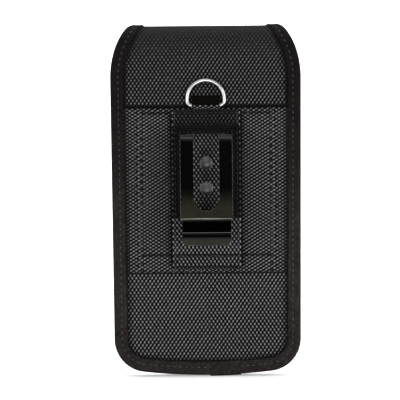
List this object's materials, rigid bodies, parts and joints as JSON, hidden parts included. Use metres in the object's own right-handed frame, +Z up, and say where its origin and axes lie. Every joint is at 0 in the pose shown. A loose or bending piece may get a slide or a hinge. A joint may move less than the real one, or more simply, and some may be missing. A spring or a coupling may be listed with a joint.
{
  "type": "phone belt holster",
  "caption": "Upright padded fabric phone pouch with bound edges, a fold-over flap, a belt strap, a slotted spring belt clip and a wire ring.",
  "frame": {"origin": "middle of the belt channel behind the strap, on the belt's centre line", "axes": "+Z up along the pouch's length, -Y out of the belt side towards the wearer, +Y out of the flap's front, +X along the belt"},
  "size_m": [0.0942, 0.0471, 0.1735],
  "materials": {
    "ballistic_nylon": "coarse basket weave with a dull sheen",
    "foam": "closed-cell foam, hidden between the fabrics",
    "board": "plain stiffening sheet, hidden",
    "lining": "fine smooth lining cloth",
    "elastic": "ribbed woven elastic",
    "binding_tape": "flat woven tape, slightly brown",
    "loop_pile": "soft looped pile",
    "hook_pile": "stiff moulded hooks",
    "ribbon": "ribbed ribbon",
    "clip_steel": "black finish over spring steel",
    "rivet_steel": "satin gunmetal domes",
    "ring_nickel": "bright nickel plate"
  },
  "bodies": {
    "pouch": {"back_shell": "ballistic_nylon", "back_foam": "foam", "back_board": "board", "back_lining": "lining", "side_gusset": "elastic", "front_shell": "ballistic_nylon", "front_foam": "foam", "front_board": "board", "front_lining": "lining", "back_binding": "binding_tape", "front_binding": "binding_tape", "mouth_binding": "binding_tape", "reinforcement_panel": "ballistic_nylon", "ring_tab": "ribbon", "belt_strap_outer": "ballistic_nylon", "belt_strap_inner": "ballistic_nylon", "belt_clip": "clip_steel", "rivet_upper": "rivet_steel", "rivet_lower": "rivet_steel", "loop_patch": "loop_pile"},
    "flap_top": {"flap_top_shell": "ballistic_nylon", "flap_top_foam": "foam", "flap_top_lining": "lining", "flap_top_binding_left": "binding_tape", "flap_top_binding_right": "binding_tape"},
    "flap_front": {"flap_shell": "ballistic_nylon", "flap_foam": "foam", "flap_board": "board", "flap_lining": "lining", "flap_binding": "binding_tape", "hook_patch": "hook_pile"},
    "d_ring": {"d_ring": "ring_nickel"}
  },
  "joints": [
    {"name": "flap_rear_fold", "type": "hinge", "parent": "pouch", "child": "flap_top", "pos_m": [0, 0.00583, 0.07157], "axis": [1, 0, 0], "range_deg": [0, 135]},
    {"name": "flap_front_fold", "type": "hinge", "parent": "flap_top", "child": "flap_front", "pos_m": [0, 0.03137, 0.07157], "axis": [1, 0, 0], "range_deg": [0, 90]},
    {"name": "d_ring_swing", "type": "hinge", "parent": "pouch", "child": "d_ring", "pos_m": [0, 0.00175, 0.0342], "axis": [1, 0, 0], "range_deg": [0, 140]}
  ],
  "couplings": [
    {"joint": "flap_front_fold", "follows": "flap_rear_fold", "ratio": 0.6666}
  ]
}
